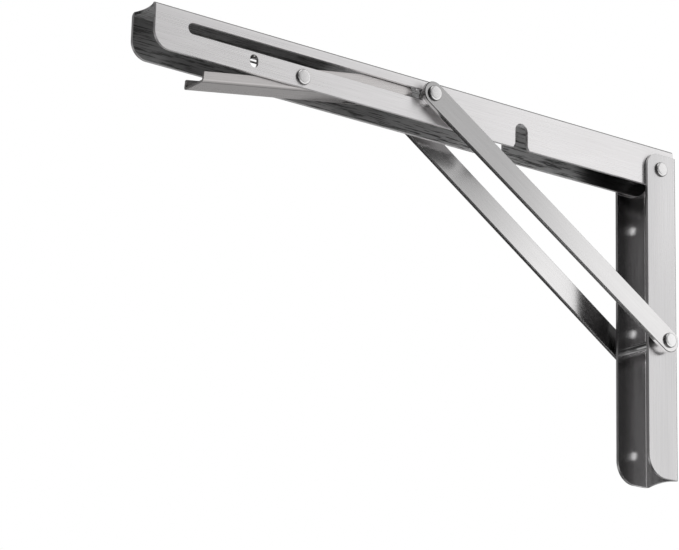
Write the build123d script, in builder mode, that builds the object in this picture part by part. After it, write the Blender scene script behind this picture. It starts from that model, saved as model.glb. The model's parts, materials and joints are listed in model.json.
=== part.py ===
"""Folding shelf bracket of folded stainless sheet, open and locked.

The wall plate's back is the plane x = 0, and +x reaches out into the room. The hinge axle lies
along y at height 0, +z is up, and +y is the side called right by someone who faces the wall.
All sizes are in millimetres.
"""
import os
from math import atan2, cos, degrees, hypot, radians, sin

from build123d import *

os.makedirs("parts", exist_ok=True)

# Sheet thicknesses and the inside radius of every fold
plate_sheet = 2.0
arm_sheet = 2.0
lever_sheet = 1.6
fold_inside = 0.6

# Clearances
running_gap = 0.05
side_gap = 0.1
fold_gap = 0.3
rest_gap = 0.3

# Arm: a channel that opens downwards
arm_reach = 400.0
arm_width = 25.6
arm_height = 27.2
arm_drop = 11.4
arm_wall_gap = 0.8
arm_end_corner = 10.5
arm_scoop_depth = 2.0
shelf_hole_radius = 2.6
shelf_hole_inner_reach = 50.0
shelf_hole_outer_margin = 15.0

# Wall plate: a channel that opens towards the room and takes the folded arm
plate_side_gap = 0.5
plate_depth = 25.3
plate_top = 10.0
plate_height = 212.7
plate_top_corner = 9.0
plate_foot_corner = 14.0
plate_scoop_depth = 1.3
wall_hole_radius = 2.75
wall_hole_sink_radius = 4.3
wall_hole_first_drop = 29.0
wall_hole_middle_drop = 99.0
wall_hole_foot_margin = 22.7

# Braces and the two axles that carry the fold
hinge_to_foot = 115.3
slide_reach = 203.3
brace_width = 15.2
brace_thickness = 3.0
brace_side_gap = 3.7
brace_edge = 0.35
axle_radius = 3.5
hinge_washer_radius = 7.0
foot_washer_radius = 6.3

# Slot that guides the braces' upper end
slot_height = 7.0
slot_depth_below_top = 10.5
slot_end_margin = 25.8
slide_collar_radius = 5.0
slide_collar_thickness = 0.5
slide_spacer_radius = 5.5
slide_rivet_radius = 3.0

# Rivet heads
head_radius = 4.75
head_rim = 1.3
head_height = 1.9
head_flat_radius = 4.0

# Notch that takes the foot axle when the arm is folded
notch_radius = 5.0
notch_flare = 1.5
notch_flare_height = 2.6

# Release lever: a channel that opens upwards, nested in the arm
lever_width = 20.0
lever_tilt = 9.4
lever_pivot_reach = 296.4
lever_pivot_below_top = 21.0
lever_below_pivot = 7.15
lever_front_height = 6.25
lever_rear_height = 13.45
lever_tip = 70.0
lever_tip_rake = 1.6
lever_step_start = 6.5
lever_step_length = 10.0
lever_web_end = 42.3
lever_nose = 83.5
lever_nose_radius = 8.2
lever_nose_taper_start = 55.0
lever_nose_lift = 3.6
lever_pin_radius = 2.5
lever_washer_radius = 5.0

# Torsion spring on the lever pin
spring_wire = 1.2
spring_radius = 4.5
spring_turns = 5
spring_pitch = 1.35
spring_leg_reach = 35.1
spring_lever_leg = 28.0
spring_bend = 2.5
spring_sleeve_wall = 0.95
anchor_hole_width = 5.7
anchor_hole_height = 7.9

# Heights and distances that follow from the sizes above
arm_top = arm_height - arm_drop
hinge_reach = plate_sheet + fold_gap + arm_drop
arm_half = arm_width / 2
arm_inside = arm_half - arm_sheet
plate_inside = arm_half + plate_side_gap
plate_half = plate_inside + plate_sheet
plate_foot = plate_top - plate_height
brace_foot_inner = plate_half + brace_side_gap
brace_slide_inner = arm_half + brace_side_gap
wall_hole_last_drop = -plate_foot - wall_hole_foot_margin
slot_level = arm_top - slot_depth_below_top
slot_inner_reach = slide_reach - rest_gap
slot_outer_reach = arm_reach - slot_end_margin
slide_radius = slot_height / 2 - side_gap
slide_spacer_end = brace_slide_inner - side_gap
lever_half = lever_width / 2
lever_inside = lever_half - lever_sheet
pivot_level = arm_top - lever_pivot_below_top
spring_level = pivot_level + spring_radius
spring_half = (spring_turns + 0.5) * spring_pitch / 2
spring_sleeve_radius = lever_pin_radius + running_gap + spring_sleeve_wall
slide_collar_end = arm_inside - side_gap - slide_collar_thickness

side = Plane.XZ


def axle_axis(reach, level):
    """The line along y through a point of the side view."""
    return Axis((reach, 0, level), (0, 1, 0))


def half_section(reach, level):
    """The plane in which a turned piece is drawn: radius along x, place along the axle along y."""
    return Plane(origin=(reach, 0, level), x_dir=(1, 0, 0), z_dir=(0, 0, 1))


def head_outline(seat):
    """Half the outline of a rivet head that sits at a place along its axle, as a face."""
    rim = seat + head_rim
    crown = seat + head_height
    with BuildSketch() as head:
        with BuildLine():
            Polyline((0, seat), (head_radius, seat), (head_radius, rim))
            RadiusArc((head_radius, rim), (head_flat_radius, crown), -1.2 * (head_radius - head_flat_radius))
            Polyline((head_flat_radius, crown), (0, crown), (0, seat))
        make_face()
    return head.sketch


def turned_axle(reach, level, radius, seat):
    """An axle with a riveted head on each side. The seat is where a head's underside lies."""
    head = head_outline(seat)
    with BuildPart() as axle:
        with BuildSketch(half_section(reach, level)):
            add(head)
            Rectangle(radius, 2 * seat + head_rim, align=(Align.MIN, Align.CENTER))
            mirror(about=Plane.XZ)
        revolve(axis=axle_axis(reach, level))
    return axle


def turned_ring(reach, level, inner, outer, start, end):
    """A washer, spacer or sleeve: a ring between two places along its axle."""
    with BuildPart() as ring:
        with BuildSketch(half_section(reach, level)):
            with Locations((inner, start)):
                Rectangle(outer - inner, end - start, align=(Align.MIN, Align.MIN))
        revolve(axis=axle_axis(reach, level))
    return ring


def save(piece, name):
    """Label a finished piece and write it."""
    piece.part.label = name
    export_step(piece.part, f"parts/{name}.step")


def save_pair(piece, name):
    """Write a piece made for the right side, and its mirror image for the left side."""
    save(piece, f"{name}_right")
    with BuildPart() as twin:
        mirror(piece.part, about=Plane.XZ)
    save(twin, f"{name}_left")


# Wall plate
with BuildPart() as wall_plate:
    with BuildSketch(Plane.XY.offset(plate_foot)) as section:
        Rectangle(plate_depth, 2 * plate_half, align=(Align.MIN, Align.CENTER))
        with Locations((plate_sheet, 0)):
            Rectangle(plate_depth, 2 * plate_inside, align=(Align.MIN, Align.CENTER), mode=Mode.SUBTRACT)
        back_corners = section.vertices().group_by(Axis.X)[0]
        fillet(back_corners, fold_inside + plate_sheet)
        inside_corners = section.vertices().filter_by_position(Axis.X, plate_sheet - 0.01, plate_sheet + 0.01)
        fillet(inside_corners, fold_inside)
    extrude(amount=plate_height)

    with BuildSketch(side) as plate_outline:
        with Locations((0, plate_foot)):
            Rectangle(plate_depth, plate_height, align=(Align.MIN, Align.MIN))
        front = plate_outline.vertices().group_by(Axis.X)[-1].sort_by(Axis.Y)
        fillet(front[-1], plate_top_corner)
        front = plate_outline.vertices().group_by(Axis.Y)[0].sort_by(Axis.X)
        fillet(front[-1], plate_foot_corner)
    extrude(amount=plate_half, both=True, mode=Mode.INTERSECT)

    # Shallow hollow in the foot of the web
    scoop_half = plate_inside - fold_inside
    scoop_radius = scoop_half**2 / (2 * plate_scoop_depth) + plate_scoop_depth / 2
    with BuildSketch(Plane.YZ):
        with Locations((0, plate_foot + plate_scoop_depth - scoop_radius)):
            Circle(scoop_radius)
    extrude(amount=plate_sheet + fold_inside, mode=Mode.SUBTRACT)

    # Countersunk screw holes through the web
    for drop in (wall_hole_first_drop, wall_hole_middle_drop, wall_hole_last_drop):
        with Locations(Plane(origin=(plate_sheet, 0, -drop), z_dir=(1, 0, 0))):
            CounterSinkHole(wall_hole_radius, wall_hole_sink_radius, plate_sheet, counter_sink_angle=90)

    # Axle holes through both flanges
    with BuildSketch(side):
        with Locations((hinge_reach, 0), (hinge_reach, -hinge_to_foot)):
            Circle(axle_radius + running_gap)
    extrude(amount=plate_half, both=True, mode=Mode.SUBTRACT)
save(wall_plate, "wall_plate")


# Shelf arm
with BuildPart() as shelf_arm:
    with BuildSketch(Plane.YZ.offset(arm_wall_gap)) as section:
        with Locations((0, arm_top)):
            Rectangle(arm_width, arm_height, align=(Align.CENTER, Align.MAX))
        with Locations((0, arm_top - arm_sheet)):
            Rectangle(2 * arm_inside, arm_height, align=(Align.CENTER, Align.MAX), mode=Mode.SUBTRACT)
        top_corners = section.vertices().group_by(Axis.Y)[-1]
        fillet(top_corners, fold_inside + arm_sheet)
        web_level = arm_top - arm_sheet
        inside_corners = section.vertices().filter_by_position(Axis.Y, web_level - 0.01, web_level + 0.01)
        fillet(inside_corners, fold_inside)
    extrude(amount=arm_reach - arm_wall_gap)

    # Side outline: a big corner at the outer end, and an inner end that turns clear of the wall plate
    with BuildSketch(side):
        with BuildLine():
            Polyline(
                (hinge_reach - arm_drop, 0),
                (hinge_reach - arm_drop, plate_top + rest_gap),
                (arm_wall_gap, plate_top + rest_gap),
                (arm_wall_gap, arm_top),
                (arm_reach, arm_top),
                (arm_reach, arm_end_corner - arm_drop),
            )
            RadiusArc(
                (arm_reach, arm_end_corner - arm_drop),
                (arm_reach - arm_end_corner, -arm_drop),
                arm_end_corner,
            )
            Line((arm_reach - arm_end_corner, -arm_drop), (hinge_reach, -arm_drop))
            RadiusArc((hinge_reach, -arm_drop), (hinge_reach - arm_drop, 0), arm_drop)
        make_face()
    extrude(amount=arm_half, both=True, mode=Mode.INTERSECT)

    # Hollow across the web's outer end
    scoop_half = arm_inside - fold_inside
    scoop_radius = scoop_half**2 / (2 * arm_scoop_depth) + arm_scoop_depth / 2
    with BuildSketch(Plane.XY.offset(arm_top)):
        with Locations((arm_reach - arm_scoop_depth + scoop_radius, 0)):
            Circle(scoop_radius)
    extrude(amount=-(arm_sheet + fold_inside), mode=Mode.SUBTRACT)

    # Slot, notch and holes through both flanges
    slot_length = slot_outer_reach - slot_inner_reach
    notch_reach = hinge_reach + hinge_to_foot
    with BuildSketch(side):
        with Locations((slot_inner_reach + slot_length / 2, slot_level)):
            SlotCenterToCenter(slot_length, slot_height)
        with Locations((hinge_reach, 0)):
            Circle(axle_radius + running_gap)
        with Locations((notch_reach, 0)):
            Circle(notch_radius)
        with BuildLine():
            Polyline(
                (notch_reach - notch_radius, 0),
                (notch_reach - notch_radius, notch_flare_height - arm_drop),
                (notch_reach - notch_radius - notch_flare, -arm_drop),
                (notch_reach + notch_radius + notch_flare, -arm_drop),
                (notch_reach + notch_radius, notch_flare_height - arm_drop),
                (notch_reach + notch_radius, 0),
                close=True,
            )
        make_face()
        with Locations((lever_pivot_reach, pivot_level)):
            Circle(lever_pin_radius + running_gap)
    extrude(amount=arm_half, both=True, mode=Mode.SUBTRACT)

    # Tall hole in the right flange that holds the spring's leg
    anchor_level = spring_level + spring_wire / 2 + rest_gap - anchor_hole_height / 2
    with BuildSketch(side):
        with Locations((lever_pivot_reach + spring_leg_reach, anchor_level)):
            SlotOverall(anchor_hole_height, anchor_hole_width, rotation=90)
    extrude(amount=-arm_half, mode=Mode.SUBTRACT)

    # Screw holes for the shelf, through the web, where the lever leaves room for a driver
    for reach in (shelf_hole_inner_reach, arm_reach / 2, arm_reach - shelf_hole_outer_margin):
        with Locations((reach, 0, arm_top)):
            Hole(shelf_hole_radius, depth=arm_sheet)
save(shelf_arm, "shelf_arm")


# Braces: flat bars with round ends, from the foot axle to the slot. The wall plate is wider than
# the arm, so the two bars spread a little towards their feet.
brace_foot = Vector(hinge_reach, brace_foot_inner, -hinge_to_foot)
brace_head = Vector(slide_reach, brace_slide_inner, slot_level)
brace_line = brace_head - brace_foot
brace_along = brace_line.normalized()
brace_normal = (Vector(0, 1, 0) - brace_along * brace_along.Y).normalized()
brace_face = Plane(origin=(brace_foot + brace_head) / 2, x_dir=brace_along, z_dir=brace_normal)
with BuildPart() as brace:
    with BuildSketch(brace_face):
        SlotCenterToCenter(brace_line.length, brace_width)
    extrude(amount=brace_thickness)
    broad_faces = brace.faces().sort_by(Axis(brace_head, brace_normal))
    chamfer(broad_faces[0].edges() + broad_faces[-1].edges(), brace_edge)
    with BuildSketch(brace_face):
        with Locations((brace_line.length / 2, 0)):
            Circle(slide_rivet_radius)
    extrude(amount=brace_thickness, mode=Mode.SUBTRACT)
    with BuildSketch(side):
        with Locations((hinge_reach, -hinge_to_foot)):
            Circle(axle_radius + running_gap)
    extrude(amount=-2 * brace_foot_inner, mode=Mode.SUBTRACT)
save_pair(brace, "brace")


# Axles that are riveted over at both ends
hinge_axle = turned_axle(hinge_reach, 0, axle_radius, plate_half)
save(hinge_axle, "hinge_axle")
foot_head_seat = brace_foot_inner + brace_thickness + side_gap
foot_axle = turned_axle(hinge_reach, -hinge_to_foot, axle_radius, foot_head_seat)
save(foot_axle, "foot_axle")
lever_pin = turned_axle(lever_pivot_reach, pivot_level, lever_pin_radius, arm_half)
save(lever_pin, "lever_pin")

# Washers between the moving layers
hinge_washer = turned_ring(
    hinge_reach,
    0,
    axle_radius + running_gap,
    hinge_washer_radius,
    arm_half + running_gap,
    plate_inside - running_gap,
)
save_pair(hinge_washer, "hinge_washer")
foot_washer = turned_ring(
    hinge_reach,
    -hinge_to_foot,
    axle_radius + running_gap,
    foot_washer_radius,
    plate_half,
    brace_foot_inner - side_gap,
)
save_pair(foot_washer, "foot_washer")
lever_washer = turned_ring(
    lever_pivot_reach,
    pivot_level,
    lever_pin_radius + running_gap,
    lever_washer_radius,
    lever_half + running_gap,
    arm_inside - running_gap,
)
save_pair(lever_washer, "lever_washer")


# Sliding end of the braces: a collared stud in each slot, and a spacer outside the arm
with BuildPart() as slide_stud:
    with BuildSketch(half_section(slide_reach, slot_level)):
        with Locations((0, slide_collar_end)):
            Rectangle(slide_collar_radius, slide_collar_thickness, align=(Align.MIN, Align.MIN))
            Rectangle(slide_radius, slide_spacer_end - slide_collar_end, align=(Align.MIN, Align.MIN))
    revolve(axis=axle_axis(slide_reach, slot_level))
save_pair(slide_stud, "slide_stud")
slide_spacer = turned_ring(
    slide_reach,
    slot_level,
    slide_radius,
    slide_spacer_radius,
    arm_half + side_gap,
    slide_spacer_end,
)
save_pair(slide_spacer, "slide_spacer")
rivet_head = head_outline(brace_thickness)
rivet_section = Plane(origin=brace_head, x_dir=brace_along, z_dir=brace_along.cross(brace_normal))
with BuildPart() as brace_rivet:
    with BuildSketch(rivet_section):
        add(rivet_head)
        Rectangle(slide_rivet_radius, brace_thickness + head_rim, align=(Align.MIN, Align.MIN))
    revolve(axis=Axis(brace_head, brace_normal))
save_pair(brace_rivet, "brace_rivet")


# Release lever, drawn in its own tilted frame: x towards the tip, y up, origin on its pivot
tilt = radians(lever_tilt)
along_lever = Vector(cos(tilt), 0, -sin(tilt))
lever_pivot = Vector(lever_pivot_reach, 0, pivot_level)
lever_side = Plane(origin=lever_pivot, x_dir=along_lever, z_dir=(0, -1, 0))
lever_end = Plane(origin=lever_pivot + along_lever * lever_tip, x_dir=(0, 1, 0), z_dir=along_lever)
rear_top = lever_rear_height - lever_below_pivot
front_top = lever_front_height - lever_below_pivot
with BuildPart() as release_lever:
    with BuildSketch(lever_end) as section:
        with Locations((0, -lever_below_pivot)):
            Rectangle(lever_width, lever_rear_height, align=(Align.CENTER, Align.MIN))
        with Locations((0, lever_sheet - lever_below_pivot)):
            Rectangle(2 * lever_inside, lever_rear_height, align=(Align.CENTER, Align.MIN), mode=Mode.SUBTRACT)
        foot_corners = section.vertices().group_by(Axis.Y)[0]
        fillet(foot_corners, fold_inside + lever_sheet)
        web_level = lever_sheet - lever_below_pivot
        inside_corners = section.vertices().filter_by_position(Axis.Y, web_level - 0.01, web_level + 0.01)
        fillet(inside_corners, fold_inside)
    extrude(amount=-(lever_tip + lever_nose))

    # Side outline: a low front, a step over the pivot, and a round nose that tapers from below
    with BuildSketch(lever_side) as outline:
        with BuildLine():
            Polyline(
                (lever_nose_radius - lever_nose, rear_top),
                (lever_step_start, rear_top),
                (lever_step_start + lever_step_length, front_top),
                (lever_tip - lever_tip_rake, front_top),
                (lever_tip, -lever_below_pivot),
                (-lever_nose_taper_start, -lever_below_pivot),
                (-lever_nose, lever_nose_lift - lever_below_pivot),
                (-lever_nose, rear_top - lever_nose_radius),
            )
            RadiusArc(
                (-lever_nose, rear_top - lever_nose_radius),
                (lever_nose_radius - lever_nose, rear_top),
                lever_nose_radius,
            )
        make_face()
        step_corners = outline.vertices().filter_by_position(
            Axis.X, lever_step_start - 0.01, lever_step_start + lever_step_length + 0.01
        )
        fillet(step_corners, lever_step_length * 0.4)
    extrude(amount=lever_half, both=True, mode=Mode.INTERSECT)

    # The web stops short of the nose, between the two walls
    with BuildSketch(lever_side):
        with Locations((-lever_web_end, -lever_below_pivot)):
            Rectangle(lever_nose, lever_sheet + lever_nose_lift, align=(Align.MAX, Align.MIN))
    extrude(amount=lever_inside - fold_inside, both=True, mode=Mode.SUBTRACT)

    with BuildSketch(lever_side):
        Circle(lever_pin_radius + running_gap)
    extrude(amount=lever_half, both=True, mode=Mode.SUBTRACT)
save(release_lever, "release_lever")


# Sleeve that keeps the coil round the lever pin
spring_sleeve = turned_ring(
    lever_pivot_reach,
    pivot_level,
    lever_pin_radius + running_gap,
    spring_sleeve_radius,
    -(lever_inside - rest_gap),
    lever_inside - rest_gap,
)
save(spring_sleeve, "spring_sleeve")


# Torsion spring in one wire: a leg on the lever's web, a coil, and a leg hooked into the tall hole.
# Each half turn of the coil is a half circle, tilted so that it climbs half the pitch.
below_lever = Vector(-sin(tilt), 0, -cos(tilt))
coil_frame = Plane(
    origin=lever_pivot - Vector(0, spring_half, 0),
    x_dir=below_lever,
    z_dir=(0, 1, 0),
)


def half_turn(index):
    """Half a turn of the coil. Even ones run from below the pin to above it, odd ones back."""
    way = 1 if index % 2 == 0 else -1
    climb = spring_pitch / 2
    arc = ThreePointArc(
        (way * spring_radius, 0, index * climb),
        (0, way * hypot(spring_radius, climb / 2), (index + 0.5) * climb),
        (-way * spring_radius, 0, (index + 1) * climb),
    )
    return coil_frame.location * arc


coil = [half_turn(index).edge() for index in range(2 * spring_turns + 1)]
coil[-1] = coil[-1].trim(0, 1 - lever_tilt / 180)
coil_end = coil[-1] @ 1
leg_way = coil[-1] % 1
lever_leg_end = coil[0] @ 0 - (coil[0] % 0) * spring_lever_leg
lever_leg = Line(lever_leg_end, coil[0] @ 0)
arm_leg_bend = coil_end + leg_way * spring_leg_reach
arm_leg = FilletPolyline(
    coil_end,
    arm_leg_bend,
    (arm_leg_bend.X, arm_half, arm_leg_bend.Z),
    radius=spring_bend,
)
spring_path = Wire([lever_leg.edge(), *coil, *arm_leg.edges()])
with BuildPart() as lever_spring:
    with BuildSketch(Plane(origin=lever_leg_end, z_dir=coil[0] % 0)):
        Circle(spring_wire / 2)
    sweep(path=spring_path)
save(lever_spring, "lever_spring")
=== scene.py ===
# %% [markdown]
# # A folding shelf bracket in brushed stainless steel
# The bracket is folded and riveted sheet: a wall plate, an arm that folds down into it, two flat
# braces, and a long release lever. Its shape is already right, because it comes from the packed
# CAD model. What is left is how it looks: the brushed grain of every sheet, the pressed rivet
# heads, the nylon washers, and a studio that steel can mirror.

# %% Load the frame
import json
from math import atan2, cos, degrees, pi, radians, sin

import bmesh
import bpy
import numpy as np
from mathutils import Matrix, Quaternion, Vector


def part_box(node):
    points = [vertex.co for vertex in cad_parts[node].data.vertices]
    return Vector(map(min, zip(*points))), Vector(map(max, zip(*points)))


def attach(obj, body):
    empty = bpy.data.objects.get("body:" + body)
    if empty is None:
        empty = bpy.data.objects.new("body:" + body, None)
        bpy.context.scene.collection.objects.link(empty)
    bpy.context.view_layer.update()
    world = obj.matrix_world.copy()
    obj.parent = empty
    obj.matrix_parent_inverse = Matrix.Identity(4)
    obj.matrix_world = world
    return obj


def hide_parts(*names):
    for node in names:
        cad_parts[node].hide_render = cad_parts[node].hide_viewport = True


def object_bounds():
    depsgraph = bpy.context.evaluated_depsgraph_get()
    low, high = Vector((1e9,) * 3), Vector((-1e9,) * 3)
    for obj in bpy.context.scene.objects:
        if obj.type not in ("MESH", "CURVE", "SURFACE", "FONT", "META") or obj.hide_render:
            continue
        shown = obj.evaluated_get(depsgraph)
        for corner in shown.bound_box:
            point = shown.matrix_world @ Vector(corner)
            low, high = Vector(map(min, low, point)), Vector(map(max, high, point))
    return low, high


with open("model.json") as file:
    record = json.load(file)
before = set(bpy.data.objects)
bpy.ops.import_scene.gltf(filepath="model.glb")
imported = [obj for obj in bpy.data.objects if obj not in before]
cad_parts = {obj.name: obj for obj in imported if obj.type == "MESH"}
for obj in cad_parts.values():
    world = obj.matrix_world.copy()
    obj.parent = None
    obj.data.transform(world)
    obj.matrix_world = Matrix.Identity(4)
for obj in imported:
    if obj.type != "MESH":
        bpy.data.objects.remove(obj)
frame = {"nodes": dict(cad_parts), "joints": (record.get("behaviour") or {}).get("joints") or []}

cad_low, cad_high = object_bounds()
nodes = frame["nodes"]
print("CAD box in metres:", cad_low, cad_high)
print("CAD nodes:", len(nodes))

# %% [markdown]
# ## Where things are
# Every place below is read from the frame, so nothing has to be fitted by eye. A node's box gives
# its middle, and the braces' slope follows from the two axles that they join.

# %% Middles and slopes


def middle(node):
    """The middle of a CAD node's box, in metres."""
    low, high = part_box(node)
    return (low + high) / 2


hinge = middle("hinge_axle")
foot = middle("foot_axle")
slide = middle("slide_stud_right")
lever_pin = middle("lever_pin")
brace_slope = atan2(slide.z - foot.z, slide.x - foot.x)
lever_joint = next(joint for joint in frame["joints"] if joint["name"] == "lever_press")
lever_slope = -radians(lever_joint["range_deg"][1])
print("brace slope", round(degrees(brace_slope), 2), "lever slope", round(degrees(lever_slope), 2))

# %% [markdown]
# ## The camera
# The bracket is seen from below and from its right, with a long lens. Such a view can be found by
# eye, but it is surer to solve for it: the corners, holes and rivets whose sizes are known were
# matched with where the picture shows them. The picture is 679 by 550 pixels, and the lens is
# given as the focal length in those pixels.

# %% Camera
picture_width = 679
focal_pixels = 2745.7
sensor_width = 36
camera_place = Vector((1.1693, 1.2450, -0.5734))
turned_from_y = radians(36.237)
looks_up = radians(16.524)
roll = radians(1.523)
nearest_seen = 0.05


def add_object(name, data):
    """A new object in the scene, at the origin."""
    thing = bpy.data.objects.new(name, data)
    bpy.context.scene.collection.objects.link(thing)
    return thing


def looking_along(way):
    """The rotation of a camera or lamp that looks along a vector, with its top up."""
    return way.to_track_quat("-Z", "Y")


camera_data = bpy.data.cameras.new("camera")
camera_data.sensor_width = sensor_width
camera_data.lens = focal_pixels * sensor_width / picture_width
camera_data.clip_start = nearest_seen
camera = add_object("camera", camera_data)
bpy.context.scene.camera = camera
level = cos(looks_up)
looking = Vector((-sin(turned_from_y) * level, -cos(turned_from_y) * level, sin(looks_up)))
camera.location = camera_place
camera.rotation_mode = "QUATERNION"
camera.rotation_quaternion = looking_along(looking) @ Quaternion((0, 0, 1), roll)
print("lens", round(camera_data.lens, 1), "mm")

# %% [markdown]
# ## Node helpers
# Materials here are small graphs. Wiring them takes many lines in plain bpy, so a short helper
# makes a node, sets its inputs by name and links what is already a socket. That keeps each
# material as readable as a formula.

# %% Helpers for node graphs


def output(node, name=0):
    """One output socket of a node, by name or number."""
    return node.outputs[name]


def put(tree, kind, settings=None, **inputs):
    """Adds a node. Settings are its own values.

    Inputs are sockets or values for its inputs, by name with _ for a blank, or by number as i0.
    """
    node = tree.nodes.new(kind)
    for key, value in (settings or {}).items():
        setattr(node, key, value)
    for key, value in inputs.items():
        numbered = key[0] == "i" and key[1:].isdigit()
        socket = node.inputs[int(key[1:]) if numbered else key.replace("_", " ")]
        if isinstance(value, bpy.types.NodeSocket):
            tree.links.new(value, socket)
        else:
            socket.default_value = value
    return node


def in_order(values):
    """Values as the first, second and further input of a node."""
    return {f"i{number}": value for number, value in enumerate(values)}


def maths(tree, operation, *values):
    """The result of one Math node."""
    return output(put(tree, "ShaderNodeMath", {"operation": operation}, **in_order(values)))


def vector_maths(tree, operation, *values):
    """The result of one Vector Math node: a number for a length or dot product, else a vector."""
    node = put(tree, "ShaderNodeVectorMath", {"operation": operation}, **in_order(values))
    return output(node, "Value" if operation in ("LENGTH", "DOT_PRODUCT") else "Vector")


def product(tree, *values):
    """Several factors multiplied."""
    result = values[0]
    for value in values[1:]:
        result = maths(tree, "MULTIPLY", result, value)
    return result


def part(tree, vector, axis):
    """The X, Y or Z part of a vector."""
    return output(put(tree, "ShaderNodeSeparateXYZ", Vector=vector), axis)


def remap(tree, value, from_low, from_high, to_low, to_high, smooth=True):
    """A value carried from one range to another, held at the ends."""
    settings = {"interpolation_type": "SMOOTHSTEP" if smooth else "LINEAR", "clamp": True}
    ranges = {"i1": from_low, "i2": from_high, "i3": to_low, "i4": to_high}
    return output(put(tree, "ShaderNodeMapRange", settings, i0=value, **ranges))


def mix_numbers(tree, share, first, second):
    """One number where the share is 0 and another where it is 1."""
    node = put(tree, "ShaderNodeMix", {"data_type": "FLOAT"}, i0=share, i2=first, i3=second)
    return output(node, 0)


def mix_colours(tree, share, first, second):
    """One colour where the share is 0 and another where it is 1."""
    node = put(tree, "ShaderNodeMix", {"data_type": "RGBA"}, i0=share, i6=first, i7=second)
    return output(node, 2)


def dimmed(tree, colour, lightness):
    """A colour times a number."""
    grey = put(tree, "ShaderNodeCombineXYZ", X=lightness, Y=lightness, Z=lightness)
    return vector_maths(tree, "MULTIPLY", colour, output(grey))


def new_material(name):
    """An empty material and its node tree."""
    material = bpy.data.materials.new(name)
    material.use_nodes = True
    material.node_tree.nodes.clear()
    return material, material.node_tree


# %% [markdown]
# ## The studio
# Polished and brushed steel has hardly a colour of its own: it shows what stands round it. It is
# therefore photographed between big pale sheets, with a dark card where an edge should stand out.
# Those could be built as lamps and boards, but a world shader that grades light by direction gives
# the same calm reflections, is the same from every side, and casts no stray shadow.
#
# It is a grey room that darkens downwards and at the wall. A dark card stands off each long side,
# out from the wall, where the rivets' rims and the channels' insides mirror it. Towards the wall
# there is a tall pale window on the right, and far weaker on the left, and underneath lies a pale
# reflector. Only mirrored rays meet those two, so they don't light what is matt. The picture's
# background is plain white, so a ray that comes from the camera meets white.
#
# Each thing's edge is a band, from where it starts to where it is full, told by the height, the
# way out from the wall, the way to the right or the lean towards an aim.

# %% World
room_level = 0.46
level_below = 0.03
level_left = 0.90
level_at_wall = 0.50
level_of_card = 0.20
card_side = (0.58, 0.76, 0.28)
card_edge = (0.88, 0.97)
dark_heights = (-0.62, -0.15)
left_to_right = (-0.20, 0.20)
close_to_wall = (-0.98, -0.86)

world = bpy.data.worlds.new("studio")
bpy.context.scene.world = world
world.use_nodes = True
studio = world.node_tree
studio.nodes.clear()

direction = output(put(studio, "ShaderNodeTexCoord"), "Generated")
outward = part(studio, direction, "X")
rightward = part(studio, direction, "Y")
height = part(studio, direction, "Z")
sideways = maths(studio, "ABSOLUTE", rightward)
either_side = output(put(studio, "ShaderNodeCombineXYZ", X=outward, Y=sideways, Z=height))


def towards(view, aim):
    """How far a direction leans towards an aim, from -1 to 1."""
    return vector_maths(studio, "DOT_PRODUCT", view, Vector(aim).normalized())


room = product(
    studio,
    remap(studio, height, *dark_heights, level_below, 1.0),
    remap(studio, towards(either_side, card_side), *card_edge, 1.0, level_of_card),
    remap(studio, rightward, *left_to_right, level_left, 1.0),
    remap(studio, outward, *close_to_wall, level_at_wall, 1.0),
    room_level,
)
print("room nodes:", len(studio.nodes))

# %% Window, reflector and backdrop
window_left = 0.10
window_outer_side = (-0.68, -0.49)
window_wall_side = (-1.0, -0.95)
window_foot = (-0.50, -0.25)
window_top = (0.70, 0.92)
reflector_side = (-0.15, 0.30, -0.94)
reflector_edge = (0.45, 0.80)
light_on_matt = 0.85
white = 1.0
least_divisor = 0.001

height_squared = maths(studio, "MULTIPLY", height, height)
level_part = maths(studio, "SQRT", maths(studio, "SUBTRACT", 1.0, height_squared))
heading = maths(studio, "DIVIDE", outward, maths(studio, "MAXIMUM", level_part, least_divisor))
window = product(
    studio,
    remap(studio, heading, *window_outer_side, 1.0, 0.0),
    remap(studio, heading, *window_wall_side, 0.0, 1.0),
    remap(studio, height, *window_foot, 0.0, 1.0),
    remap(studio, height, *window_top, 1.0, 0.0),
    remap(studio, rightward, *left_to_right, window_left, 1.0),
)
reflector = remap(studio, towards(direction, reflector_side), *reflector_edge, 0.0, 1.0)

ray = put(studio, "ShaderNodeLightPath")
pale_sheets = maths(studio, "MAXIMUM", window, reflector)
mirrored = maths(studio, "MULTIPLY", output(ray, "Is Glossy Ray"), pale_sheets)
from_camera = maths(
    studio, "MAXIMUM", output(ray, "Is Camera Ray"), output(ray, "Is Transmission Ray")
)
meets_white = maths(studio, "MAXIMUM", from_camera, mirrored)
lit = mix_numbers(studio, output(ray, "Is Diffuse Ray"), room, light_on_matt)
brightness = mix_numbers(studio, meets_white, lit, white)
background = put(studio, "ShaderNodeBackground", Color=(1, 1, 1, 1), Strength=brightness)
put(studio, "ShaderNodeOutputWorld", Surface=output(background))
print("world nodes:", len(studio.nodes))

# %% Lamp
lamp_place = Vector((0.6, 0.2, 1.6))
lamp_size = 1.2
lamp_watts = 5

softbox = bpy.data.lights.new("top_softbox", "AREA")
softbox.shape = "RECTANGLE"
softbox.size = lamp_size
softbox.size_y = lamp_size
softbox.energy = lamp_watts
lamp = add_object("top_softbox", softbox)
lamp.location = lamp_place
lamp.rotation_mode = "QUATERNION"
lamp.rotation_quaternion = looking_along((cad_low + cad_high) / 2 - lamp_place)
print("lamp:", lamp.name, lamp_watts, "W")

# %% [markdown]
# ## The floor
# A bracket hangs on a wall, well above the ground, and the picture looks up at it. So the floor is
# a plain pale disc far below, which only other views show. It fades out at its rim, where the
# white background takes over.

# %% Floor
floor_level = -0.95
floor_radius = 1.6
thins_from, thins_to = 0.45 * floor_radius, 0.98 * floor_radius
floor_grey = (0.82, 0.82, 0.82, 1)


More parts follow.
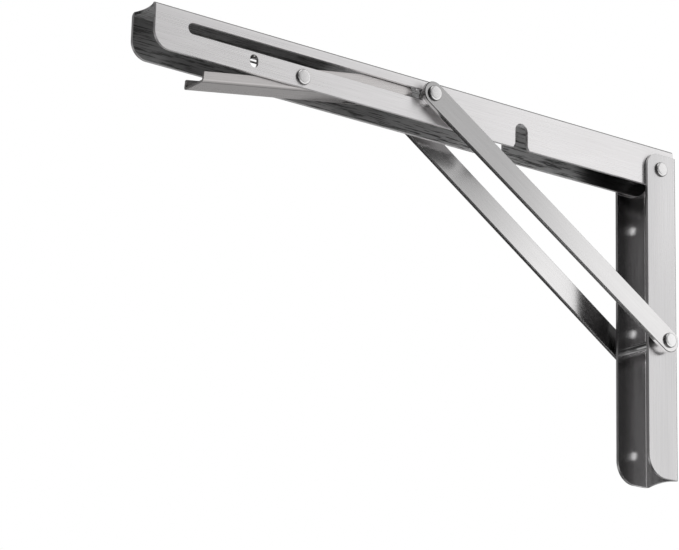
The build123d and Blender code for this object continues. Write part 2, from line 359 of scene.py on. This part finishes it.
def ring_faces(rings, spokes):
    """The quads between neighbouring rings of points, each ring closed on itself."""
    ring, spoke = np.meshgrid(np.arange(rings - 1), np.arange(spokes), indexing="ij")
    near, far = ring * spokes, (ring + 1) * spokes
    following = (spoke + 1) % spokes
    corners = [near + spoke, far + spoke, far + following, near + following]
    return np.stack(corners, axis=-1).reshape(-1, 4)


def disc(name, radius, level, rings=24, spokes=96):
    """A flat disc. Each point is (r cos a, r sin a, level), with r and a on an even grid."""
    angles = np.arange(spokes) * 2 * pi / spokes
    r, a = np.meshgrid(np.linspace(0, radius, rings), angles, indexing="ij")
    points = np.stack([r * np.cos(a), r * np.sin(a), np.full_like(r, level)], axis=-1)
    mesh = bpy.data.meshes.new(name)
    mesh.from_pydata(points.reshape(-1, 3).tolist(), [], ring_faces(rings, spokes).tolist())
    mesh.validate()
    return add_object(name, mesh)


floor = disc("floor", floor_radius, floor_level)
floor.visible_glossy = False

floor_paint, tree = new_material("floor_paint")
place = output(put(tree, "ShaderNodeTexCoord"), "Object")
from_middle = vector_maths(tree, "LENGTH", vector_maths(tree, "MULTIPLY", place, (1, 1, 0)))
clear_share = remap(tree, from_middle, thins_from, thins_to, 0.0, 1.0)
pale = put(tree, "ShaderNodeBsdfDiffuse", Color=floor_grey)
clear = put(tree, "ShaderNodeBsdfTransparent")
blend = put(tree, "ShaderNodeMixShader", i0=clear_share, i1=output(pale), i2=output(clear))
put(tree, "ShaderNodeOutputMaterial", Surface=output(blend))
floor.data.materials.append(floor_paint)
print("floor", floor_level, "m, faces", len(floor.data.polygons))

# %% [markdown]
# ## Brushed steel
# Stainless sheet of this kind is brushed lengthwise before it is cut and folded, so every flat
# piece has its own grain: along the arm, up the wall plate, along each brace. Two things make
# brushed metal: fine scratches, which are stretched noise in the bump and roughness, and a
# reflection that is drawn out across the grain, which is the shader's anisotropy. An image of
# scratches could do the first, but noise has no seams and follows each piece's slope.

# %% Grain
fine_scratch = {"length": 0.030, "width": 0.00022}
broad_scratch = {"length": 0.090, "width": 0.0016}
dull_patch = {"length": 0.150, "width": 0.030, "detail": 1.0}
fine_share, broad_share = 0.72, 0.28
noise_roughness = 0.6
bit_of_y = (0, 0.02, 0)


def across_grain(tree, grain):
    """The direction in the surface that crosses the grain, in world space: normal x grain.

    A little of y is added, so that it has a length also where the surface cuts the grain.
    """
    settings = {"vector_type": "VECTOR", "convert_from": "OBJECT", "convert_to": "WORLD"}
    grain_in_world = output(put(tree, "ShaderNodeVectorTransform", settings, i0=grain))
    normal = output(put(tree, "ShaderNodeNewGeometry"), "Normal")
    cross = vector_maths(tree, "CROSS_PRODUCT", normal, grain_in_world)
    return vector_maths(tree, "ADD", cross, bit_of_y)


def grain_noise(tree, along, length, width, detail=3.0):
    """Noise drawn out along the grain: one feature is about length by width, in metres."""
    scale = (1 / length, 1 / width, 1 / width)
    stretched = put(tree, "ShaderNodeMapping", {"vector_type": "POINT"}, Vector=along, Scale=scale)
    noise = put(
        tree,
        "ShaderNodeTexNoise",
        {"noise_dimensions": "3D"},
        Vector=output(stretched),
        Scale=1.0,
        Detail=detail,
        Roughness=noise_roughness,
    )
    return output(noise, 0)


def streaks(tree, along):
    """The brushing: many fine scratches, and some broad ones."""
    fine = maths(tree, "MULTIPLY", grain_noise(tree, along, **fine_scratch), fine_share)
    broad = maths(tree, "MULTIPLY", grain_noise(tree, along, **broad_scratch), broad_share)
    return maths(tree, "ADD", fine, broad)


print("scratches in metres:", fine_scratch, broad_scratch)

# %% [markdown]
# ## Painted shade at folds, painted reflection and shade on the braces
# Sheet isn't equally bright all over. The folds, where the sheet turns from one face to another,
# get a painted shade: a thin dark line that stands for the dark they mirror. The braces get a
# painted reflection that darkens them towards the ends that slide, and a painted shade on their
# inner faces near the feet, which turn to the plate's dark hollow. An artist would paint such
# things on an image. Here each one is a number from 0 to 1 that the colour is multiplied by. It is
# worked out from where a point lies on its own piece and which way it faces, so it stays with the
# piece when that moves.

# %% Painted shade and reflection of folds, ends and faces
off_flat = (0.08, 0.25)
near_side = (0.70, 0.95)
past_inner_face = (-0.010, -0.005)


def painted_fold_shade(tree, side_facing, fold):
    """A painted shade: 1 on flat faces, and fold where the sheet turns from one face to another.

    Side_facing is 1 on a face that looks sideways and 0 on one that looks up, down or along. A
    fold is what lies past the band off_flat and short of the band near_side.
    """
    leaves_flat = remap(tree, side_facing, *off_flat, 0.0, 1.0)
    short_of_side = remap(tree, side_facing, *near_side, 1.0, 0.0)
    folded = product(tree, leaves_flat, short_of_side)
    return remap(tree, folded, 0.0, 1.0, 1.0, fold, smooth=False)


def painted_reflection_fade(tree, along, dark_place, bright_place, lightness):
    """A painted reflection: from a lightness at one place along the grain to 1 at another."""
    return remap(tree, part(tree, along, "X"), dark_place, bright_place, lightness, 1.0)


def shade_lightness(tree, place, normal, along, near, far, lightness):
    """Painted shade: a lightness on the inner faces of a pair of pieces up to near, 1 from far on.

    A face looks inwards where its place and its normal have opposite signs in y.
    """
    outwards = maths(tree, "MULTIPLY", part(tree, place, "Y"), part(tree, normal, "Y"))
    inner = remap(tree, outwards, *past_inner_face, 1.0, 0.0)
    close = remap(tree, part(tree, along, "X"), near, far, 1.0, 0.0)
    shaded = product(tree, inner, close)
    return remap(tree, shaded, 0.0, 1.0, 1.0, lightness, smooth=False)


# %% [markdown]
# ## Mill finish and painted shade in the hollows
# A brush doesn't reach into a folded channel, so its hollow keeps the finish of the rolling mill:
# mottled, streaked along the sheet, and duller. Its dark colour is partly that finish and partly
# painted shade. A second slot on the inner faces could carry it, but the CAD model has one slot
# for each piece, so a box in the piece's own coordinates says what is hollow. The arm's hollow has
# a painted pool of light along the middle of its length, with painted shade towards its ends and
# on its flanges, which are darker than the web. The wall plate's has painted shade, from dark at
# the open edge to light at the web.

# %% Mill finish and painted shade
box_edge = 0.0001
mottle_detail = 5.0
mottle_span = (0.39, 0.52)
web_to_flange = (0.30, 0.70)
dim_start, dim_end, dim_flange = 0.10, 0.58, 0.66
start_blend, end_blend = 0.008, 0.03
least_level = 0.46
least_streaked = 0.75


def within(tree, place, low, high):
    """1 inside a box and 0 outside it, with an edge a fifth of a millimetre wide."""
    centre = (Vector(low) + Vector(high)) / 2
    half = (Vector(high) - Vector(low)) / 2
    offset = vector_maths(tree, "ABSOLUTE", vector_maths(tree, "SUBTRACT", place, centre))
    over = vector_maths(tree, "SUBTRACT", offset, half)
    worst = maths(tree, "MAXIMUM", part(tree, over, "X"), part(tree, over, "Y"))
    worst = maths(tree, "MAXIMUM", worst, part(tree, over, "Z"))
    return remap(tree, worst, -box_edge, box_edge, 1.0, 0.0)


def tone(tint, factor):
    """A tint made darker or lighter, at most white, as a colour with its alpha."""
    return tuple(min(channel * factor, 1) for channel in tint) + (1,)


def mill_and_shade_colour(tree, along, side_facing, tint, inside):
    """The colour of a hollow: the mill finish, mottled between the inside's dark and light shares
    of the tint, and painted shade.

    Bright_from and bright_to are places along the grain, between which a painted pool of light
    makes the hollow lighter, and more so on its web than on its flanges. Open_edge and web are
    places across the grain, from which to which the painted shade fades and it grows lighter.
    """
    mottle = grain_noise(tree, along, inside["length"], inside["width"], detail=mottle_detail)
    amount = remap(tree, mottle, *mottle_span, 0.0, 1.0)
    lightness = 1.0
    if "bright_from" in inside:
        reach = part(tree, along, "X")
        start, end = inside["bright_from"], inside["bright_to"]
        bright = product(
            tree,
            remap(tree, reach, start - start_blend, start + start_blend, dim_start, 1.0),
            remap(tree, reach, end - end_blend, end + end_blend, 1.0, dim_end),
        )
        amount = product(tree, amount, bright)
        flange = remap(tree, side_facing, *web_to_flange, 1.0, dim_flange)
        ends = remap(tree, bright, dim_start, 1.0, least_level, 1.0, smooth=False)
        lightness = product(tree, flange, ends)
    if "open_edge" in inside:
        deep = remap(tree, part(tree, along, "Z"), inside["open_edge"], inside["web"], 0.0, 1.0)
        streaked = remap(tree, amount, 0.0, 1.0, least_streaked, 1.0, smooth=False)
        amount = product(tree, streaked, deep)
    colour = mix_colours(tree, amount, tone(tint, inside["dark"]), tone(tint, inside["light"]))
    return dimmed(tree, colour, lightness)


# %% [markdown]
# ## The steel itself
# With those parts the material is short. It mixes two tones of one tint by the streaks, dims the
# folds and faces with painted shade and a painted reflection, lays the mill finish with its
# painted shade over the hollows, and ends in a metal whose edges are rounded by the bevel node. A
# real sheet has no edge sharper than that.

# %% Brushed steel
noise_span = (0.30, 0.70)
two_noises_span = (0.70, 1.30)
smoother, rougher = 0.05, 0.06
dark_streak, light_streak = 0.90, 1.05
scratch_depth = 0.00002
sheet_edge = 0.00035


def finish_metal(tree, colour, rough, relief, strength, edge_radius, **more):
    """Ends a metal: rounded edges, then the relief as a bump, then the shader."""
    rounded = put(tree, "ShaderNodeBevel", {"samples": 4}, Radius=edge_radius)
    bump = put(
        tree,
        "ShaderNodeBump",
        Strength=strength,
        Distance=scratch_depth,
        Height=relief,
        Normal=output(rounded),
    )
    metal = put(
        tree,
        "ShaderNodeBsdfPrincipled",
        Base_Color=colour,
        Metallic=1.0,
        Roughness=rough,
        Normal=output(bump),
        **more,
    )
    put(tree, "ShaderNodeOutputMaterial", Surface=output(metal))


def brushed_steel(
    name,
    slope,
    tint,
    roughness,
    anisotropy=0.85,
    scratch=0.28,
    fold=0.08,
    fade=None,
    shade=None,
    inside=None,
):
    """Brushed stainless sheet. The grain lies in the side view at a slope above the x axis.

    Fold is how light the painted shade on the folds is. Fade and shade, if given, are the last
    three values of the painted reflection and painted shade helpers above, and inside says where a
    hollow lies and how its mill finish and painted shade look.
    """
    material, tree = new_material(name)
    coordinates = put(tree, "ShaderNodeTexCoord")
    place, normal = output(coordinates, "Object"), output(coordinates, "Normal")
    settings = {"vector_type": "POINT"}
    turn = put(tree, "ShaderNodeMapping", settings, Vector=place, Rotation=(0, slope, 0))
    along = output(turn)

    streak = streaks(tree, along)
    marks = maths(tree, "ADD", streak, grain_noise(tree, along, **dull_patch))
    rough = remap(tree, marks, *two_noises_span, roughness - smoother, roughness + rougher)
    share = remap(tree, streak, *noise_span, 0.0, 1.0)
    colour = mix_colours(tree, share, tone(tint, dark_streak), tone(tint, light_streak))

    side_facing = maths(tree, "ABSOLUTE", part(tree, normal, "Y"))
    # Painted shade on the folds.
    colour = dimmed(tree, colour, painted_fold_shade(tree, side_facing, fold))
    # A painted reflection along the grain, darker towards one end.
    if fade:
        colour = dimmed(tree, colour, painted_reflection_fade(tree, along, *fade))
    # Painted shade on the inner faces near one end.
    if shade:
        colour = dimmed(tree, colour, shade_lightness(tree, place, normal, along, *shade))
    if inside:
        hollow = within(tree, along, *inside["box"])
        # The hollow's mill finish with its painted shade.
        hollow_colour = mill_and_shade_colour(tree, along, side_facing, tint, inside)
        colour = mix_colours(tree, hollow, colour, hollow_colour)
        rough = mix_numbers(tree, hollow, rough, inside["roughness"])

    tangent = across_grain(tree, (cos(slope), 0, sin(slope)))
    drawn_out = {"Anisotropic": anisotropy, "Tangent": tangent}
    finish_metal(tree, colour, rough, streak, scratch, sheet_edge, **drawn_out)
    return material


def dress(material, *names):
    """Gives a material to CAD nodes, in every slot that they have."""
    for name in names:
        piece = nodes[name]
        if not piece.material_slots:
            piece.data.materials.append(material)
        for slot in piece.material_slots:
            slot.material = material


# %% [markdown]
# ## The arm, the wall plate and the lever
# The arm is the lightest sheet, and the lever, which is pressed from thinner stock, the greyest.
# Each hollow's box reaches past the ends of its piece and stops at the inner faces of the sheet.
# Its coordinates are turned with the grain: x along it and z across the channel.

# %% Arm
past_ends = 1.0
arm_sheet = 0.002
arm_low, arm_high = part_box("shelf_arm")
# The dark share and the bright span are painted shade and a painted pool of light over the mill
# mottle.
arm_inside = {
    "box": (
        (-past_ends, arm_low.y + arm_sheet - box_edge, -past_ends),
        (past_ends, arm_high.y - arm_sheet + box_edge, arm_high.z - arm_sheet + box_edge),
    ),
    "length": 0.014,
    "width": 0.0008,
    "dark": 0.25,
    "light": 1.14,
    "roughness": 0.46,
    "bright_from": 0.058,
    "bright_to": 0.20,
}
arm_tint = (0.89, 0.875, 0.88)
arm_steel = brushed_steel("arm_steel", 0.0, arm_tint, roughness=0.30, inside=arm_inside)
dress(arm_steel, "shelf_arm")
print("arm from", arm_low, "to", arm_high)

# %% Wall plate
plate_sheet = 0.002
plate_low, plate_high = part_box("wall_plate")
# The dark share, darkest at the open edge, is painted shade over the mill mottle.
plate_inside = {
    "box": (
        (-past_ends, plate_low.y + plate_sheet - box_edge, -past_ends),
        (past_ends, plate_high.y - plate_sheet + box_edge, box_edge - plate_low.x - plate_sheet),
    ),
    "length": 0.06,
    "width": 0.0030,
    "dark": 0.32,
    "light": 1.2,
    "roughness": 0.20,
    "open_edge": -0.022,
    "web": -0.008,
}
plate_tint = (0.83, 0.82, 0.825)
plate_steel = brushed_steel(
    "plate_steel", pi / 2, plate_tint, roughness=0.27, anisotropy=0.6, inside=plate_inside
)
dress(plate_steel, "wall_plate")
print("wall plate from", plate_low, "to", plate_high)

# %% Lever
lever_sheet = 0.0016
pivot_over_underside = 0.00715
lever_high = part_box("release_lever")[1]
pin_height = lever_pin.z * cos(lever_slope) - lever_pin.x * sin(lever_slope)
lever_web = pin_height - (pivot_over_underside - lever_sheet)
# The dark shares are painted shade over the mill mottle.
lever_inside = {
    "box": (
        (-past_ends, lever_sheet - lever_high.y - box_edge, lever_web - box_edge),
        (past_ends, lever_high.y - lever_sheet + box_edge, past_ends),
    ),
    "length": 0.01,
    "width": 0.0008,
    "dark": 0.20,
    "light": 0.60,
    "roughness": 0.32,
}
lever_tint = (0.70, 0.675, 0.67)
lever_steel = brushed_steel(
    "lever_steel", lever_slope, lever_tint, roughness=0.30, fold=0.55, inside=lever_inside
)
dress(lever_steel, "release_lever")
print("lever web at", round(lever_web, 5), "m across its grain")

# %% [markdown]
# ## The braces
# The braces are flat bar, smoother than the sheet. A place on them is told by its reach, the
# distance along the grain, with the foot axle and the slide as landmarks.

# %% Braces


def brace_reach(point):
    """How far along the braces' grain a point lies."""
    return point.x * cos(brace_slope) + point.z * sin(brace_slope)


slide_reach = brace_reach(slide)
foot_reach = brace_reach(foot)
brace_tint = (0.89, 0.88, 0.88)
# A painted reflection that darkens the braces towards the slide.
brace_painted_reflection = (slide_reach - 0.055, foot_reach + 0.068, 0.60)
# Painted shade on the braces' inner faces near the feet.
brace_shade = (foot_reach + 0.020, foot_reach + 0.048, 0.15)
brace_steel = brushed_steel(
    "brace_steel", brace_slope, brace_tint, roughness=0.18, fade=brace_painted_reflection, shade=brace_shade
)
dress(brace_steel, "brace_left", "brace_right")
print("brace reaches", round(foot_reach, 4), round(slide_reach, 4))

# %% [markdown]
# ## Turned steel
# Rivet heads are pressed and turned round their own axle, so their marks run in rings. The rings
# come from the distance to the axle, which the frame gives. The studs, spacers and steel washers
# are turned in the same way. A head's rim carries a painted shade: a dark ring round the flat of
# the head, standing for the dark that the rounded rim mirrors and the shadow where it meets the
# sheet.

# %% Turned steel
ring_scale, speck_scale = 4500.0, 900.0
ring_share, speck_share = 0.6, 0.4
dark_ring, light_ring = 0.90, 1.06
rim_blend, rim_shade_lightness = 0.0004, 0.10
shank_blend, shank_smoother = 0.0002, 0.12
turned_relief = 0.3
turned_edge = 0.00025


def turned_steel(
    name, centre, tint=(0.88, 0.87, 0.87), roughness=0.22, shank_half=0.0, rim=0.0
):
    """Satin steel with fine rings round an axle that lies along y through a centre.

    Nearer to the middle than shank_half it is the ground shank of an axle, and smoother. From the
    radius rim outwards it carries a painted shade, darker round the edge of a head.
    """
    material, tree = new_material(name)
    place = output(put(tree, "ShaderNodeTexCoord"), "Object")
    centred = vector_maths(tree, "SUBTRACT", place, (centre.x, 0, centre.z))
    radius = vector_maths(tree, "LENGTH", vector_maths(tree, "MULTIPLY", centred, (1, 0, 1)))
    settings = {"noise_dimensions": "1D"}
    ring = put(tree, "ShaderNodeTexNoise", settings, W=radius, Scale=ring_scale, Detail=2.0)
    speck = put(tree, "ShaderNodeTexNoise", Vector=place, Scale=speck_scale, Detail=3.0)
    ring_part = maths(tree, "MULTIPLY", output(ring, 0), ring_share)
    speck_part = maths(tree, "MULTIPLY", output(speck, 0), speck_share)
    marks = maths(tree, "ADD", ring_part, speck_part)

    share = remap(tree, marks, *noise_span, 0.0, 1.0)
    colour = mix_colours(tree, share, tone(tint, dark_ring), tone(tint, light_ring))
    # Painted shade round the rim of a head.
    if rim:
        lightness = remap(tree, radius, rim, rim + rim_blend, 1.0, rim_shade_lightness)
        colour = dimmed(tree, colour, lightness)
    rough = remap(tree, marks, *noise_span, roughness - smoother, roughness + rougher)
    if shank_half:
        across = maths(tree, "ABSOLUTE", part(tree, place, "Y"))
        shank = remap(tree, across, shank_half, shank_half + shank_blend, 1.0, 0.0)
        rough = maths(tree, "SUBTRACT", rough, maths(tree, "MULTIPLY", shank, shank_smoother))
    finish_metal(tree, colour, rough, marks, turned_relief, turned_edge)
    return material


head_edge = 0.0043
foot_tint = (0.98, 0.97, 0.97)
foot_rivet_steel = turned_steel(
    "foot_rivet_steel", foot, foot_tint, shank_half=plate_high.y, rim=head_edge
)
slide_rivet_steel = turned_steel("slide_rivet_steel", slide, rim=head_edge)
hinge_rivet_steel = turned_steel("hinge_rivet_steel", hinge, rim=head_edge)
pin_rivet_steel = turned_steel("pin_rivet_steel", lever_pin, rim=head_edge)
dress(turned_steel("foot_washer_steel", foot), "foot_washer_left", "foot_washer_right")
slide_steel = turned_steel("slide_steel", slide)
dress(slide_steel, "slide_stud_left", "slide_stud_right")
dress(slide_steel, "slide_spacer_left", "slide_spacer_right")
print("turned steels: 6")

# %% [markdown]
# ## Rivets
# The axles end in pressed heads: a flat face, a rounded rim and a slight undercut where the head
# meets the sheet. The CAD model's heads are made of few facets, which would show as corners in a
# mirror-like metal. A profile carried round its axle in fine steps gives the same rivets with a
# smooth rim. A cylinder with a bevel would do too, but the profile also holds the undercut.

# %% Turned shapes
head_radius = 0.00475
head_flat = 0.0032
head_rim = 0.0007
head_height = 0.0019
head_undercut = 0.00025
rim_steps = 13
sharpest_smooth = radians(35)
same_point = 1e-7


def turned(name, place, way, profile, spokes=96):
    """A profile carried round an axle.

    A profile point is a radius r and a distance h along the axle. Its ring is the points
    place + h way + r (cos a u + sin a v), where u and v are square to the axle.
    """
    way = np.array(way, float) / np.linalg.norm(way)
    u = np.cross(way, (0.0, 0.0, 1.0))
    u = u / np.linalg.norm(u)
    v = np.cross(way, u)
    r, h = np.array(profile, float).T
    a = np.arange(spokes) * 2 * pi / spokes
    ring = np.cos(a)[:, None] * u + np.sin(a)[:, None] * v
    points = np.array(place, float) + h[:, None, None] * way + r[:, None, None] * ring
    facing_out = ring_faces(len(r), spokes)[:, [0, 3, 2, 1]]
    mesh = bpy.data.meshes.new(name)
    mesh.from_pydata(points.reshape(-1, 3).tolist(), [], facing_out.tolist())
    form = bmesh.new()
    form.from_mesh(mesh)
    bmesh.ops.remove_doubles(form, verts=form.verts, dist=same_point)
    form.to_mesh(mesh)
    form.free()
    mesh.shade_smooth()
    mesh.set_sharp_from_angle(angle=sharpest_smooth)
    return add_object(name, mesh)


def head_profile(seat):
    """A head from its underside to its middle.

    The rim is a quarter of an ellipse: r = flat + (radius - flat) cos t, and
    h = seat + rim + (height - rim) sin t.
    """
    t = np.linspace(0, pi / 2, rim_steps)
    r = head_flat + (head_radius - head_flat) * np.cos(t)
    h = seat + head_rim + (head_height - head_rim) * np.sin(t)
    underside = [(head_radius - head_undercut, seat), (head_radius, seat + head_undercut)]
    return underside + np.stack([r, h], axis=-1).tolist() + [(0.0, seat + head_height)]


print("points in a head's profile:", len(head_profile(0.0)))

# %% Axles and rivets
brace_thickness = 0.003
axle_shank = 0.0035
pin_shank = 0.0025
brace_shank = 0.003


def rivet(node, material, body, shank, way=None):
    """Stands for one CAD axle or rivet.

    Without a way it is an axle along y with a head on both ends. With one it is a brace's rivet,
    with a head on the end that the way points to.
    """
    low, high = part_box(node)
    centre = (low + high) / 2
    if way is None:
        way = Vector((0, 1, 0))
        seat = high.y - centre.y - head_height
        upper = [(shank, seat)] + head_profile(seat)
        profile = [(r, -h) for r, h in reversed(upper)] + upper
    else:
        centre = centre - way * ((brace_thickness + head_height) / 2)
        profile = [(0.0, 0.0), (shank, 0.0), (shank, brace_thickness)]
        profile = profile + head_profile(brace_thickness)
    piece = turned(node + "_turned", centre, way, profile)
    piece.data.materials.append(material)
    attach(piece, body)
    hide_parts(node)
    return piece


def brace_rivet_way(side):
    """Square to the brace on one side, 1 or -1, and outwards: the braces spread to their feet."""
    spread = side * (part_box("foot_washer_right")[1].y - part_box("slide_spacer_right")[1].y)
    along = Vector((slide.x - foot.x, -spread, slide.z - foot.z)).normalized()
    return (Vector((0, side, 0)) - along * (side * along.y)).normalized()


right_way, left_way = brace_rivet_way(1), brace_rivet_way(-1)
rivets = [
    rivet("hinge_axle", hinge_rivet_steel, "wall", axle_shank),
    rivet("foot_axle", foot_rivet_steel, "wall", axle_shank),
    rivet("lever_pin", pin_rivet_steel, "arm", pin_shank),
    rivet("brace_rivet_right", slide_rivet_steel, "braces", brace_shank, right_way),
    rivet("brace_rivet_left", slide_rivet_steel, "braces", brace_shank, left_way),
]
print("rivets:", {piece.name: len(piece.data.polygons) for piece in rivets})

# %% [markdown]
# ## Nylon and spring wire
# Thin nylon washers keep the steel sheets from rubbing, and a nylon sleeve carries the coil. Nylon
# is milky: pale, a little see-through at its edges, and satin. Spring wire is drawn through a die
# and not brushed, so its reflections aren't drawn out across a grain, and it is darker.

# %% Nylon
nylon_dark, nylon_light = (0.74, 0.73, 0.69, 1), (0.84, 0.83, 0.80, 1)
nylon_roughness = (0.40, 0.52)
nylon_relief = 0.15
milkiness = 0.15
milk_depth = 0.001
nylon_index = 1.53
cloud_scale = 600.0

nylon, tree = new_material("washer_nylon")
place = output(put(tree, "ShaderNodeTexCoord"), "Object")
cloud = output(put(tree, "ShaderNodeTexNoise", Vector=place, Scale=cloud_scale, Detail=4.0), 0)
skin = put(tree, "ShaderNodeBump", Strength=nylon_relief, Distance=scratch_depth, Height=cloud)
plastic = put(
    tree,
    "ShaderNodeBsdfPrincipled",
    Base_Color=mix_colours(tree, cloud, nylon_dark, nylon_light),
    Roughness=remap(tree, cloud, *noise_span, *nylon_roughness),
    Normal=output(skin),
    IOR=nylon_index,
    Subsurface_Weight=milkiness,
    Subsurface_Scale=milk_depth,
)
put(tree, "ShaderNodeOutputMaterial", Surface=output(plastic))
dress(nylon, "hinge_washer_left", "hinge_washer_right")
dress(nylon, "lever_washer_left", "lever_washer_right", "spring_sleeve")
print("nylon pieces: 5")

# %% Spring wire
wire_tint = (0.50, 0.49, 0.48)
wire_steel = brushed_steel(
    "spring_steel", 0.0, wire_tint, roughness=0.30, anisotropy=0.0, scratch=0.2
)
dress(wire_steel, "lever_spring")
print("spring wire: 1")

# %% [markdown]
# ## Look of the picture
# The view transform stays plain, so that a colour shows about as it is written.

# %% View
bpy.context.scene.view_settings.view_transform = "Standard"
